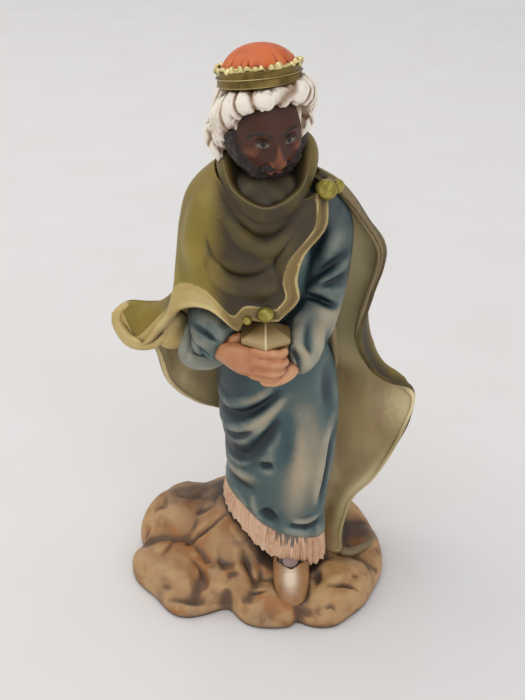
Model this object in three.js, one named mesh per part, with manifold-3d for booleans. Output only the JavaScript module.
// A presepe king of cast and painted resin: a robed magus on a rocky base, holding a gift casket.
// Figure, mantle and base come out of the mould as one solid. Millimetres, +Z up, the figure faces -Y.
// The origin is the middle of the flat underside.
import * as THREE from "three";
import { mergeVertices } from "three/addons/utils/BufferGeometryUtils.js";
import Module from "manifold-3d";

// Driving sizes of the base.
const BASE_LENGTH = 58;
const BASE_DEPTH = 39;
const BASE_MIDDLE = -2;
const STAND_LEVEL = 8;
const ROCK_EDGE = 3.6;
const ROCK_RELIEF = 1.1;

// Driving sizes of the figure. Its pose and carving are shares of its height over the rock.
const FIGURE_HEIGHT = 112.6;
const MANTLE_WALL = 1.5;
const TRIM_BEAD = 0.6;
const FOLD_DEPTH = 1.0;
const FRINGE_DEPTH = 0.45;
const CROWN_POINTS = 18;
const CROWN_RIM = 0.75;
const CASKET_WIDTH = 10.6;
const CASKET_HEIGHT = 9.2;
const CASKET_KNOB = 1.3;
const BROOCH = 2.05;

const wasm = await Module();
wasm.setup();

const TURN = 2 * Math.PI;

// The pose and the carving are written at this height of the figure, and grow and shrink with it.
const drawnHeight = 112.6;
const unit = FIGURE_HEIGHT / drawnHeight;

// A point of the figure: across, back and up from the rock, in carving units.
const at = (x, y, z) => new THREE.Vector3(x * unit, y * unit, STAND_LEVEL + z * unit);
const degrees = (angle) => (angle * Math.PI) / 180;
const clamp = (value, low, high) => Math.min(high, Math.max(low, value));
const ease = (t) => t * t * (3 - 2 * t);
const bell = (distance, width) => Math.exp(-((distance / width) ** 2));
const step = (value, from, to) => ease(clamp((value - from) / (to - from), 0, 1));

// A smooth curve through rows of [place, value, value, ...], as a function from a place to its values.
function through(rows) {
  const slope = (i, k) => {
    const before = rows[Math.max(0, i - 1)];
    const after = rows[Math.min(rows.length - 1, i + 1)];
    return (after[k] - before[k]) / (after[0] - before[0]);
  };
  return (place) => {
    const x = clamp(place, rows[0][0], rows[rows.length - 1][0]);
    let i = 0;
    while (i < rows.length - 2 && x > rows[i + 1][0]) i++;
    const span = rows[i + 1][0] - rows[i][0];
    const t = (x - rows[i][0]) / span;
    return rows[i].slice(1).map((from, n) => {
      const to = rows[i + 1][n + 1];
      const bend = (t - 2 * t * t + t ** 3) * slope(i, n + 1) + (t ** 3 - t * t) * slope(i + 1, n + 1);
      return from + (to - from) * ease(t) + span * bend;
    });
  };
}

// A smooth three.js curve through points that are given as [x, y, z] in carving units.
const lineOf = (points) => new THREE.CatmullRomCurve3(points.map((p) => at(...p)), false, "centripetal");

function solidOf(points, faces) {
  const geometry = new THREE.BufferGeometry().setFromPoints(points);
  geometry.setIndex(faces.flat());
  const merged = mergeVertices(geometry, 1e-4);
  const mesh = new wasm.Mesh({
    numProp: 3,
    vertProperties: merged.attributes.position.array,
    triVerts: new Uint32Array(merged.index.array),
  });
  return new wasm.Manifold(mesh);
}

// Two triangles between neighbouring rows of a grid of points that has `width` points in a row.
const cell = (width, row, a, b) => [
  [row * width + a, row * width + b, (row + 1) * width + b],
  [row * width + a, (row + 1) * width + b, (row + 1) * width + a],
];

// A closed body over rings of points, with a fan at each end. Rings run anticlockwise seen from the last.
function ringBody(rings) {
  const width = rings[0].length;
  const middle = (ring) => ring.reduce((sum, p) => sum.add(p), new THREE.Vector3()).divideScalar(width);
  const points = [...rings.flat(), middle(rings[0]), middle(rings[rings.length - 1])];
  const faces = [];
  const top = (rings.length - 1) * width;
  for (let i = 0; i < width; i++) {
    const j = (i + 1) % width;
    for (let row = 0; row < rings.length - 1; row++) faces.push(...cell(width, row, i, j));
    faces.push([points.length - 2, j, i], [points.length - 1, top + i, top + j]);
  }
  return solidOf(points, faces);
}

// A closed body from a function of (along, angle), with `along` from 0 to 1.
function bodyOf(rows, sides, surface) {
  const rings = [];
  for (let row = 0; row <= rows; row++) {
    rings.push(Array.from({ length: sides }, (_, i) => surface(row / rows, (i * TURN) / sides)));
  }
  return ringBody(rings);
}

// A closed hoop: rings round a middle line, from a function of (turn, angle).
function hoop(rings, sides, surface) {
  const points = [];
  const faces = [];
  for (let i = 0; i < rings; i++) {
    for (let k = 0; k < sides; k++) {
      points.push(surface((i * TURN) / rings, (k * TURN) / sides));
      const shift = ((i + 1) % rings) * sides - i * sides;
      const a = i * sides + k;
      const b = i * sides + ((k + 1) % sides);
      faces.push([a, a + shift, b + shift], [a, b + shift, b]);
    }
  }
  return solidOf(points, faces);
}

// A limb or a bead along a curve, round or flattened. `radius(along, angle)` gives its size there.
function limb(curve, rows, sides, radius, flat = 1, side = new THREE.Vector3(0, 0, 1)) {
  return bodyOf(rows, sides, (along, angle) => {
    const forward = curve.getTangentAt(along);
    const across = new THREE.Vector3().crossVectors(forward, side).normalize();
    const over = new THREE.Vector3().crossVectors(across, forward).normalize();
    const r = radius(along, angle) * unit;
    return curve
      .getPointAt(along)
      .addScaledVector(across, r * Math.cos(angle))
      .addScaledVector(over, -r * flat * Math.sin(angle));
  });
}

// A ball with three half sizes about a middle, turned by `turn`. `shape` changes its reach by direction.
function ball(middle, sizes, rows, sides, turn = new THREE.Matrix4(), shape = () => 1) {
  return bodyOf(rows, sides, (along, angle) => {
    const tilt = (along - 0.5) * Math.PI * 0.985;
    const level = Math.cos(tilt);
    const d = new THREE.Vector3(level * Math.cos(angle), level * Math.sin(angle), Math.sin(tilt));
    const reach = shape(d) * unit;
    return d.multiply(new THREE.Vector3(...sizes)).multiplyScalar(reach).applyMatrix4(turn).add(middle);
  });
}

// A closed sheet about a surface of (u, v), both from 0 to 1, with a column of points at each of `places`
// along u. `rowAt(u, row)` gives v, so that rows can gather at a hem.
function sheet(places, rows, surface, rowAt, thickness) {
  const small = 1e-3;
  const front = [];
  const back = [];
  for (let row = 0; row <= rows; row++) {
    for (const u of places) {
      const v = rowAt(u, row);
      const along = surface(Math.min(1, u + small), v).sub(surface(Math.max(0, u - small), v));
      const down = surface(u, Math.min(1, v + small)).sub(surface(u, Math.max(0, v - small)));
      const normal = along.cross(down).normalize().multiplyScalar(thickness(u, v) / 2);
      const p = surface(u, v);
      front.push(p.clone().add(normal));
      back.push(p.clone().sub(normal));
    }
  }
  const columns = places.length - 1;
  const width = places.length;
  const faces = [];
  const shift = front.length;
  for (let row = 0; row < rows; row++) {
    for (let i = 0; i < columns; i++) {
      for (const [a, b, c] of cell(width, row, i, i + 1)) {
        faces.push([a, b, c], [a + shift, c + shift, b + shift]);
      }
    }
  }
  const border = [];
  for (let i = 0; i < columns; i++) border.push(i);
  for (let row = 0; row < rows; row++) border.push(row * width + columns);
  for (let i = columns; i > 0; i--) border.push(rows * width + i);
  for (let row = rows; row > 0; row--) border.push(row * width);
  border.forEach((a, i) => {
    const b = border[(i + 1) % border.length];
    faces.push([b, a, a + shift], [b, a + shift, b + shift]);
  });
  return solidOf([...front, ...back], faces);
}

// The rock

// Bites out of the outline of the base, or swellings if the depth is negative: [turn, half width, depth].
const rockBites = [
  [-108, 11, 0.27],
  [-145, 18, 0.11],
  [-71.6, 3.5, 0.08],
  [-60, 8, -0.06],
  [-27, 16, 0.05],
  [166, 7, 0.1],
  [135, 22, -0.04],
  [48, 22, -0.05],
];

// A point of the base at a turn, at a share of the way out to its edge.
function rockEdge(angle, share) {
  const bites = rockBites.reduce((sum, [turn, width, depth]) => {
    const away = ((((angle * 360) / TURN - turn) % 360) + 540) % 360 - 180;
    return sum + depth * bell(away, width);
  }, 0);
  const oval = (Math.abs(Math.cos(angle)) ** 2.6 + Math.abs(Math.sin(angle)) ** 2.6) ** (-1 / 2.6);
  const reach = share * oval * (1 - bites);
  const deep = (Math.sin(angle) * reach * BASE_DEPTH) / 2;
  return [(Math.cos(angle) * reach * BASE_LENGTH) / 2, BASE_MIDDLE + deep];
}

// The worn lobes that the rock is made of. Places and half sizes are shares of the half length and the half
// depth of the base: [middle x, middle y, half length, half depth, top over the stand level, fall to the rim].
const rockLobes = [
  [-0.52, 0.54, 0.43, 0.51, 4.8, 5],
  [-0.64, -0.21, 0.41, 0.46, 0.2, 4],
  [-0.19, -0.36, 0.29, 0.49, -0.2, 3.4],
  [0.17, 0.15, 0.48, 0.67, 0.6, 2.6],
  [0.14, -0.69, 0.28, 0.36, -1.6, 2.6],
  [0.60, -0.51, 0.36, 0.49, -0.6, 3.6],
  [0.74, 0.15, 0.29, 0.51, -2.6, 2.2],
  [0.31, 0.77, 0.62, 0.41, 1.4, 4],
];

// Height of the rock over the underside: the highest lobe, with a rounded cleft between neighbours.
function rockHeight(x, y) {
  const across = (2 * x) / BASE_LENGTH;
  const deep = (2 * (y - BASE_MIDDLE)) / BASE_DEPTH;
  const heights = rockLobes.map(([lobeX, lobeY, halfLength, halfDepth, top, fall]) => {
    const away = Math.hypot((across - lobeX) / halfLength, (deep - lobeY) / halfDepth);
    return STAND_LEVEL + top - fall * away ** 2.6;
  });
  const soft = 0.35;
  const sum = heights.reduce((total, height) => total + Math.exp(Math.max(height, 0) / soft), 0);
  const worn = 0.35 * ROCK_RELIEF * Math.sin(0.9 * x + 0.5 * y) * Math.cos(0.7 * y - 0.4 * x);
  return soft * Math.log(sum) + worn;
}

function rock() {
  const sides = 42;
  const ring = ({ share, height }) =>
    Array.from({ length: sides }, (_, i) => {
      const [x, y] = rockEdge((i * TURN) / sides, share);
      const top = Math.max(rockHeight(x, y), ROCK_EDGE * 0.9);
      return new THREE.Vector3(x, y, height ?? top);
    });
  const foot = [
    { share: 0.975, height: 0 },
    { share: 1, height: 0.8 },
    { share: 1, height: ROCK_EDGE * 0.7 },
  ];
  const tops = [0.96, 0.87, 0.76, 0.63, 0.47, 0.25].map((share) => ({ share }));
  return ringBody([...foot, ...tops].map(ring));
}

// The tunic, from below the rock's surface to the neck, as rows of
// [height, middle x, middle y, half width, half depth, skew].
const tunicAt = through([
  [-4, 3.7, 2.4, 10.5, 11.2, -5.4],
  [5, 3.8, 2.4, 10.7, 11.2, -5.4],
  [14, 4.3, 1.8, 10.9, 10.8, -4.4],
  [25, 4.9, 1.8, 12.0, 11.2, -2.4],
  [37, 4.6, 1.6, 12.8, 11.2, -0.8],
  [47, 3.9, 1.6, 12.2, 11.4, 0],
  [56, 2.6, 1.8, 11.0, 11.2, 0],
  [66, 1.6, 1.8, 10.6, 11.0, 0],
  [76, 1.4, 1.6, 10.8, 10.0, 0],
  [83, 1.6, 1.2, 10.4, 8.0, 0],
  [88, 1.6, 0.2, 7.0, 6.4, 0],
  [93, 1.4, -0.8, 5.0, 5.0, 0],
]);

// Strokes of the carver on the front of the tunic. Each runs from a start over a middle to an end, all
// given as (across, height), and leaves a rounded ridge or valley: [x, z, x, z, x, z, half width, rise].
const skirtStrokes = [
  [-8.2, 41, -3.8, 40.3, 5.4, 48, 1.5, 0.9],
  [-8.2, 36, -2.8, 38.4, 5.6, 46, 1.3, -1.2],
  [-8, 32.2, -2, 33.6, 6, 44.4, 1.5, 0.9],
  [-7.5, 28, -0.4, 28.6, 6.3, 43, 1.6, -1.2],
  [-7, 22.5, -0.4, 25, 4.8, 37, 1.4, 0.7],
  [0.9, 26.4, 2.3, 26.4, 3.8, 26.9, 1.1, -0.7],
  [6.8, 44, 9.4, 33, 7.8, 15, 3.4, 1.0],
  [15.4, 36.5, 13.6, 28, 12.9, 16, 1.2, 0.9],
  [16.6, 33, 15.2, 25, 14.4, 14, 1.3, -1.3],
  [14.4, 48, 14.9, 42, 15.5, 36, 1.5, -0.8],
  [7.1, 11.6, 10.2, 11.7, 13.7, 12.4, 1.0, -0.9],
  [0, 14.8, 2, 13.2, 4.2, 13.8, 1.5, -0.9],
];

// Rise that a list of strokes gives at a place, and where the near ones fade at their two ends.
function strokesAt(strokes, x, z) {
  return strokes.reduce((rise, [x0, z0, x1, z1, x2, z2, width, height]) => {
    let near = Infinity;
    let fade = 0;
    for (let i = 0; i <= 12; i++) {
      const t = i / 12;
      const a = (1 - t) * (1 - 2 * t);
      const b = 4 * t * (1 - t);
      const c = t * (2 * t - 1);
      const away = Math.hypot(a * x0 + b * x1 + c * x2 - x, a * z0 + b * z1 + c * z2 - z);
      if (away < near) {
        near = away;
        fade = 0.45 + 0.55 * Math.sin(Math.PI * t);
      }
    }
    return rise + height * fade * bell(near, width);
  }, 0);
}

const tunicPoint = (z, turn, rise) => {
  const [x, y, halfWidth, halfDepth, skew] = tunicAt(z);
  const reach = 1 + rise / Math.hypot(halfWidth * Math.cos(turn), halfDepth * Math.sin(turn));
  const across = x + halfWidth * Math.cos(turn) * reach;
  return at(across, y + (halfDepth * Math.sin(turn) + skew * Math.cos(turn)) * reach, z);
};

// The hem hangs lower towards the figure's left hand.
const hemHeight = (turn) => 8.6 - 3.2 * step(Math.cos(turn), 0.4, 1);

function tunic() {
  const sides = 32;
  const heights = [11, 12.6, 15.5, 20, 24, 27.5, 31, 34, 37, 40, 43.5, 48, 60, 84];
  const ring = (height, out = 0) =>
    Array.from({ length: sides }, (_, i) => {
      const turn = (i * TURN) / sides;
      const z = height < 11 ? hemHeight(turn) + height : height;
      const [x, , halfWidth] = tunicAt(z);
      const front = step(-Math.sin(turn), -0.25, 0.2);
      const strokes = z > 10 ? strokesAt(skirtStrokes, x + halfWidth * Math.cos(turn), z) : 0;
      const back = step(Math.sin(turn), 0, 0.5) * (1 - step(z, 40, 60)) * 0.7 * Math.sin(9 * turn);
      return tunicPoint(z, turn, out + (front * strokes + back) * FOLD_DEPTH);
    });
  return ringBody([ring(-9, -2), ring(0, -0.2), ring(0.9, 0.5), ...heights.map((z) => ring(z))]);
}

// The fringe under the hem, a row of hanging tufts.
function fringe() {
  const sides = 56;
  const rows = [[-8.6, -0.4], [-7.2, 0.9], [0.4, 0.1]];
  return ringBody(
    rows.map(([down, out]) =>
      Array.from({ length: sides }, (_, i) => {
        const turn = (i * TURN) / sides;
        const tuft = FRINGE_DEPTH * (i % 2 ? 0.5 : -0.5) * step(-down, 0, 3);
        return tunicPoint(hemHeight(turn) + down, turn, out + tuft);
      }),
    ),
  );
}

// The shoe that shows under the hem, pointing down the slope of the rock.
function shoe() {
  const profile = through([
    [0, 3.2, 3.8],
    [0.3, 4.1, 4.2],
    [0.62, 4.2, 3.6],
    [0.85, 3.4, 2.8],
    [0.96, 1.9, 1.7],
    [1, 0.5, 0.6],
  ]);
  return bodyOf(8, 12, (along, angle) => {
    const [halfWidth, height] = profile(along);
    const lift = height * (0.3 + 0.7 * Math.sin(angle));
    const across = 7.4 + 0.4 * along + halfWidth * Math.cos(angle);
    return at(across, -4 - 16.4 * along, 1.4 - 5.2 * along ** 1.3 + lift);
  });
}

// The arms, the hands and the casket

const sleeveFolds = (amount, waves, phase) => (along, angle) =>
  amount * FOLD_DEPTH * Math.sin(waves * along * TURN + phase + 1.3 * Math.sin(angle));

const acrossBody = new THREE.Vector3(1, 0, 0);

function leftSleeve() {
  const line = lineOf([
    [10, 1, 84],
    [13.3, 0.8, 78.5],
    [13.2, -0.6, 70],
    [11.2, -3.6, 61],
    [10.4, -8.6, 58.4],
    [8.6, -12.2, 56.6],
    [6.2, -14.2, 55.8],
  ]);
  const size = through([[0, 4.4], [0.16, 4.9], [0.4, 4.9], [0.58, 5.5], [0.74, 5.9], [1, 4.5]]);
  const folds = sleeveFolds(0.4, 4.2, 0.4);
  return limb(line, 13, 10, (along, angle) => size(along)[0] + folds(along, angle), 1, acrossBody);
}

function rightSleeve() {
  const line = lineOf([[-8.6, 0, 65], [-9.8, -4, 61.6], [-8.2, -9.4, 59.4], [-5.6, -12.6, 58.4]]);
  const size = through([[0, 3.6], [0.3, 4.6], [0.7, 4.4], [1, 3.8]]);
  const folds = sleeveFolds(0.3, 2.6, 1.2);
  const upper = limb(line, 8, 11, (along, angle) => size(along)[0] + folds(along, angle), 1, acrossBody);
  const sag = lineOf([[-9, -7, 58], [-11, -8, 55.4], [-12.2, -8, 53]]);
  return upper.add(limb(sag, 3, 8, (along) => 3.6 - 1.6 * along));
}

function rightHand() {
  const palm = lineOf([[-7.2, -11.6, 57.8], [-4.6, -13.8, 57.7], [-1.4, -15.8, 57.5], [1.6, -16.6, 57.3]]);
  const size = through([[0, 2.3], [0.35, 2.9], [0.75, 3.2], [1, 2.6]]);
  let hand = limb(palm, 5, 8, (along) => size(along)[0], 0.86, new THREE.Vector3(0, 1, 0.2));
  const fingers = [[60, -16.4, 5.8], [58.4, -17.2, 5.9], [56.8, -17.4, 5.3], [55.3, -17, 4.3]];
  for (const [z, y, tip] of fingers) {
    const knuckle = [-2.4, y + 1.6, z * 0.7 + 17.2];
    const joint = [tip * 0.6 + 0.8, y - 0.7, z];
    const line = lineOf([knuckle, [0.6, y - 0.5, z], joint, [tip, y + 0.6, z + 0.1]]);
    hand = hand.add(limb(line, 4, 6, (along) => 1.0 - 0.25 * along ** 4));
  }
  return hand;
}

function leftHand() {
  const palm = lineOf([[7.4, -13.2, 55.4], [5, -15, 54.4], [1.6, -15.4, 54]]);
  return limb(palm, 3, 7, (along) => 2.6 - 0.8 * (2 * along - 1) ** 2);
}

// A round knob of a given radius.
const knob = (middle, radius) => ball(middle, [1, 1, 1], 7, 10, undefined, () => radius / unit);

// A casket with a hipped lid, one corner to the front, and a knob.
function casket() {
  const half = CASKET_WIDTH / 2 / unit;
  const tall = CASKET_HEIGHT / unit;
  const rows = [[0, 0.84], [0.62, 0.93], [0.66, 1], [0.74, 1], [0.97, 0.2], [1, 0.12]];
  const box = ringBody(
    rows.map(([height, share]) =>
      Array.from({ length: 6 }, (_, i) => {
        const turn = (i * TURN) / 6 - TURN / 4;
        const out = half * share;
        return at(1.8 + out * Math.cos(turn), -13 + 0.92 * out * Math.sin(turn), 55.2 + height * tall);
      }),
    ),
  );
  return box.add(knob(at(1.8, -13, 55.2 + tall + 1.0), CASKET_KNOB));
}

// The mantle

// Lines of the cloth from the neck down to its hem, in order from the brooch on the left shoulder
// across the chest, over the right arm and round the back to its free edge at the left side.
const mantleColumns = [
  [
    [12.6, -5, 87.5], [13, -6.4, 84.7], [12.7, -8, 81.3], [8.6, -11.4, 76.8], [7.6, -12.4, 73],
    [7.9, -12.8, 69], [3.8, -14.2, 64.6],
  ],
  [[7.6, -8.4, 87], [5.5, -11, 80], [3.8, -12.6, 74], [3, -13.4, 69], [1.2, -14.2, 64.8]],
  [[2, -9.6, 86.5], [-0.6, -11.8, 79], [-1.4, -12.8, 73], [-1.8, -13.4, 68.5], [-2, -13.8, 65.4]],
  [[-3, -8.6, 87.6], [-5, -10.8, 80], [-6, -12, 75], [-6.3, -12.4, 71.5], [-6.6, -12.8, 68.6]],
  [[-6.2, -5.4, 89.4], [-9.8, -7.8, 84], [-11.6, -9.2, 77], [-11.4, -10, 73], [-11, -11, 69.8]],
  [
    [-7, -2, 90.2], [-11.4, -3, 85.6], [-13.4, -4, 78], [-13.9, -5.4, 72], [-14.4, -7, 68],
    [-15.9, -8.2, 63],
  ],
  [
    [-6.8, 1, 90.4], [-11.4, 1, 85.8], [-13.5, 0.6, 78], [-14.1, -0.4, 70], [-15, -1.6, 64],
    [-18, -4.2, 58.4], [-20.4, -4.8, 54.8],
  ],
  [
    [-5.6, 3.4, 90.4], [-10.2, 4.6, 85.8], [-12.9, 4.6, 77], [-13.8, 3.2, 68], [-15.8, 1.4, 60.6],
    [-22, 0.4, 59.4], [-26.2, -1.2, 53.8],
  ],
  [
    [-4.2, 5.2, 90.2], [-8.4, 7.6, 85], [-11.6, 8.2, 74], [-13.2, 6.4, 65], [-17.4, 3.4, 58.8],
    [-24, 1.8, 59.2], [-28.6, 0, 57.2],
  ],
  [
    [-2.6, 6.4, 90.2], [-7, 9.8, 84.4], [-10.8, 10.6, 70], [-14, 8.6, 59], [-18.4, 5, 54],
    [-21.4, 2.4, 49.6],
  ],
  [
    [-0.6, 6.8, 90], [-4.2, 11.2, 83], [-8.4, 12.2, 66], [-12.4, 11, 51], [-16.4, 7.8, 42],
    [-18.8, 5, 38.6],
  ],
  [[1.6, 7, 90], [-1, 12, 82], [-4.6, 13.4, 62], [-8.4, 13.2, 45], [-11.8, 10.8, 34], [-13.6, 9, 31]],
  [[3.6, 7, 89.8], [3, 12.4, 82], [0.6, 14, 60], [-2.4, 14.4, 40], [-5, 13.4, 24]],
  [[5.6, 6.6, 89.6], [7.4, 11.8, 83], [7, 14.2, 60], [5.4, 15, 36], [3, 15, 10]],
  [[7.4, 5.6, 89.2], [10.8, 9.6, 83], [13.4, 12.6, 64], [14, 14.4, 40], [12.6, 15, 2]],
  [
    [8.8, 4.2, 88.8], [13.6, 7, 83.6], [18, 10, 70], [17.6, 11.4, 54], [21.4, 13, 36],
    [20, 14, 12], [18, 13.6, -1.5],
  ],
  [
    [10.2, 2.4, 88.6], [15.6, 3.6, 85.4], [18.6, 4.6, 82], [21.4, 5.6, 77.4], [25, 6.4, 70.6],
    [22.6, 7.2, 58.4], [24.6, 8.4, 46.6], [31.4, 9.8, 37.2], [32.2, 11, 24], [27.2, 12, 10],
    [24.2, 11, 2], [27.2, 7, -3.6],
  ],
  [
    [11.4, 0.4, 88], [16.6, -0.4, 84], [21.1, 1, 78], [24.3, 2, 71], [22.6, 2.6, 60.4],
    [21, 3.8, 50], [27.6, 7, 38.6], [34.6, 9, 33.6], [33.4, 10, 22.5], [27.2, 9.6, 8],
    [20.8, 4, 2], [19.9, 0, -2.7],
  ],
].map(lineOf);

const columnLength = mantleColumns.map((column) => column.getLength());

// Length of the cloth from the neck to the hem at u.
function lengthAt(u) {
  const place = clamp(u, 0, 1) * (columnLength.length - 1);
  const i = Math.min(columnLength.length - 2, Math.floor(place));
  return columnLength[i] + (columnLength[i + 1] - columnLength[i]) * (place - i);
}

// A point of the mantle: u runs along the columns from 0 to 1, v from the neck to the hem.
function mantlePoint(u, v) {
  const place = clamp(u, 0, 1) * (mantleColumns.length - 1);
  const i = Math.min(mantleColumns.length - 2, Math.floor(place));
  const t = place - i;
  const [a, b, c, d] = [i - 1, i, i + 1, i + 2].map((k) =>
    mantleColumns[clamp(k, 0, mantleColumns.length - 1)].getPointAt(clamp(v, 0, 1)),
  );
  const weights = [
    (-t + 2 * t * t - t ** 3) / 2,
    (2 - 5 * t * t + 3 * t ** 3) / 2,
    (t + 4 * t * t - 3 * t ** 3) / 2,
    (-t * t + t ** 3) / 2,
  ];
  return [a, b, c, d].reduce((sum, p, k) => sum.addScaledVector(p, weights[k]), new THREE.Vector3());
}

// Folds that hang across the chest, as strokes like those of the tunic.
const chestStrokes = [
  [-6.6, 86, -2.4, 81, 3.6, 78.6, 1.4, 0.9],
  [-5.2, 87, 0, 83, 6.5, 82.5, 1.5, -0.9],
  [-8.8, 77, -4.4, 73.4, 2.6, 73.8, 1.4, -1.0],
  [-8, 73.6, -3, 71, 3, 72, 1.3, 0.7],
];

function mantle() {
  const rows = 13;
  const divisions = [2, 2, 2, 2, 2, 2, 3, 3, 2, 2, 2, 2, 1, 1, 2, 2, 4];
  const places = [0];
  divisions.forEach((count, i) => {
    for (let k = 1; k <= count; k++) places.push(i + k / count);
  });
  const rowAt = (u, k) => {
    const band = 2.6 / lengthAt(u);
    return k >= rows - 1 ? 1 - (rows - k) * band * 0.45 : (k / (rows - 2)) * (1 - band);
  };
  const fold = (u, v) => {
    const p = mantlePoint(u, v);
    const behind = step(u, 0.5, 0.6) * (1 - step(u, 0.78, 0.88)) * step(v, 0.1, 0.4);
    const wave = behind * Math.sin(u * 46 + 1.2 * v);
    const high = (p.z - STAND_LEVEL) / unit;
    const chest = (1 - step(u, 0.22, 0.3)) * strokesAt(chestStrokes, p.x / unit, high);
    p.y += (wave * 0.8 - chest) * FOLD_DEPTH * unit;
    return p;
  };
  const hem = (u, v) => (1 - v) * lengthAt(u);
  const free = (u) => Math.min(u, 1 - u) * 60;
  const bead = (u, v) => TRIM_BEAD * Math.max(1 - step(hem(u, v), 1.6, 2.8), 1 - step(free(u), 0.9, 2.2));
  const columns = places.map((place) => place / divisions.length);
  return sheet(columns, rows, fold, rowAt, (u, v) => MANTLE_WALL + bead(u, v));
}

// A roll of cloth that the mantle makes against the left elbow.
function elbowRoll() {
  const line = lineOf([[15.6, 2, 59], [16, 2.4, 54], [16.8, 3.4, 49.5], [19.6, 6, 44.5], [21, 9, 41]]);
  return limb(line, 8, 6, (along) => 0.6 + 0.7 * Math.sin(Math.PI * along));
}

// The collar of the mantle that lies round the neck and under the beard, higher on the left shoulder.
function collar() {
  const sides = 6;
  return hoop(18, sides, (turn, angle) => {
    const front = step(-Math.sin(turn), -0.2, 1);
    const left = step(Math.cos(turn - 0.5), 0.2, 1);
    const reach = 6.5 + 0.5 * left + 2.5 * Math.cos(angle);
    const z = 90.6 - 4.2 * front + 0.8 * left + (2.9 + 1.3 * left) * Math.sin(angle);
    return at(1.9 + reach * Math.cos(turn), -1.7 + reach * 1.08 * Math.sin(turn), z);
  });
}

const brooch = () => knob(at(12.8, -5.4, 87.6), BROOCH);
const bead = () => knob(at(-1.6, -13.8, 66), CASKET_KNOB * 0.62);

// The head

const headTurn = new THREE.Matrix4()
  .makeRotationZ(degrees(18))
  .multiply(new THREE.Matrix4().makeRotationY(degrees(-4)))
  .multiply(new THREE.Matrix4().makeRotationX(degrees(5)));
const crownTurn = new THREE.Matrix4()
  .makeRotationY(degrees(-6))
  .multiply(new THREE.Matrix4().makeRotationX(degrees(-9)));
const headMiddle = at(1.5, -3.4, 98.4);
const crownMiddle = at(0.8, -2.8, 106);

const placed = (x, y, z, turn, middle) =>
  new THREE.Vector3(x, y, z).multiplyScalar(unit).applyMatrix4(turn).add(middle);
const onHead = (x, y, z) => placed(x, y, z, headTurn, headMiddle);
const onCrown = (x, y, z) => placed(x, y, z, crownTurn, crownMiddle);

function face() {
  return ball(headMiddle, [6.3, 7.4, 8.8], 16, 20, headTurn, (d) => {
    const front = step(-d.y, 0.2, 0.8);
    const jaw = 1 - 0.16 * step(-d.z, 0.35, 1) * (1 - front);
    const sockets = 0.08 * (bell(d.x - 0.38, 0.2) + bell(d.x + 0.38, 0.2)) * bell(d.z - 0.14, 0.13);
    const cheeks = 0.03 * (bell(d.x - 0.5, 0.2) + bell(d.x + 0.5, 0.2)) * bell(d.z + 0.16, 0.2);
    const bridge = bell(d.x, 0.11) * step(d.z, -0.24, -0.14) * (1 - step(d.z, 0.0, 0.3));
    const tip = 0.12 * bell(d.x, 0.14) * bell(d.z + 0.18, 0.09);
    return jaw + front * (0.1 * bridge + tip + cheeks - sockets);
  });
}

function beard() {
  return ball(onHead(0, -3.0, -5.0), [5.4, 4.6, 4.4], 9, 18, headTurn, (d) => {
    const mouth = 0.16 * bell(d.x, 0.3) * bell(d.z - 0.42, 0.22) * step(-d.y, 0.2, 0.7);
    return 1 + 0.035 * Math.sin(12 * Math.atan2(d.x, -d.z)) * step(-d.z, -0.1, 0.5) - mouth;
  });
}

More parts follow.
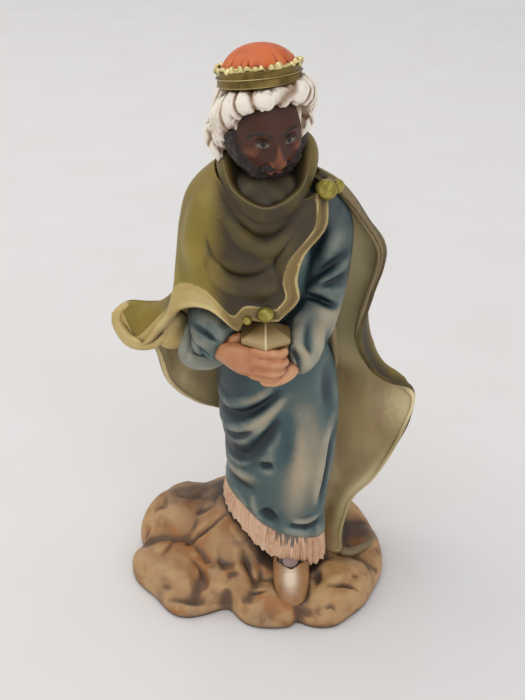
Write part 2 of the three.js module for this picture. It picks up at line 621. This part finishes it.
// The hair: a skull of it, and a thick ring of curls from the forehead down to the nape.
function hair() {
  const skull = ball(at(0.6, -0.2, 100.4), [8.6, 8.4, 8.6], 10, 18, headTurn);
  const facing = degrees(-72);
  const curls = hoop(44, 6, (turn, angle) => {
    const front = Math.cos(turn - facing);
    const from = turn - facing;
    const curl = 1 + 0.1 * Math.cos(11 * from) + 0.05 * Math.cos(22 * from + 2 * angle);
    const size = (3.1 - 0.7 * step(front, 0.5, 1)) * curl;
    const reach = 6.8 + size * Math.cos(angle);
    const z = 100.3 + 4.8 * front + 0.6 * Math.cos(turn) + size * 1.25 * Math.sin(angle);
    return at(0.9 + reach * Math.cos(turn), -1.8 + 1.06 * reach * Math.sin(turn), z);
  });
  return skull.add(curls);
}

function crown() {
  const sides = 2;
  const profile = [[6.2, 0], [7.3, 0], [7.45, 1.5], [7.25, 2.1], [7.55, 3.3], [6.2, 3.3]];
  return hoop(CROWN_POINTS * sides, profile.length, (turn, angle) => {
    const [reach, z] = profile[Math.round((angle / TURN) * profile.length)];
    const lift = CROWN_RIM * (0.5 + 0.5 * Math.cos(CROWN_POINTS * turn)) * step(z, 2, 3.3);
    return onCrown((reach + 0.4 * lift) * Math.cos(turn), (reach + 0.4 * lift) * Math.sin(turn), z + lift);
  });
}

function cap() {
  return ball(onCrown(0, 0, 1.4), [6.9, 6.9, 5.2], 9, 30, crownTurn, (d) => {
    const pleat = Math.abs(Math.sin(5 * Math.atan2(d.y, d.x)));
    return 1 - 0.08 * (1 - pleat) ** 2 * bell(d.z - 0.4, 0.4);
  });
}

// One solid: every form joined, and the hollows that nothing can reach filled.
function figure() {
  const forms = [
    rock(),
    tunic(),
    fringe(),
    shoe(),
    leftSleeve(),
    rightSleeve(),
    rightHand(),
    leftHand(),
    casket(),
    mantle(),
    elbowRoll(),
    collar(),
    brooch(),
    bead(),
    face(),
    beard(),
    hair(),
    crown(),
    cap(),
  ];
  const joined = forms.reduce((whole, form) => whole.add(form));
  return joined.decompose().sort((a, b) => b.volume() - a.volume())[0];
}

function meshOf(solid, name, material) {
  const { numProp, vertProperties, triVerts } = solid.getMesh();
  const points = [];
  for (let i = 0; i < vertProperties.length; i += numProp) {
    points.push(new THREE.Vector3(...vertProperties.slice(i, i + 3)));
  }
  const geometry = new THREE.BufferGeometry().setFromPoints(points);
  geometry.setIndex([...triVerts]);
  geometry.computeVertexNormals();
  const mesh = new THREE.Mesh(geometry, material);
  mesh.name = name;
  return mesh;
}

const paintedResin = new THREE.MeshStandardMaterial({ color: 0x8a7a3e, roughness: 0.5, metalness: 0.0 });

const king = new THREE.Group();
king.add(meshOf(figure(), "figure", paintedResin));

export default king;
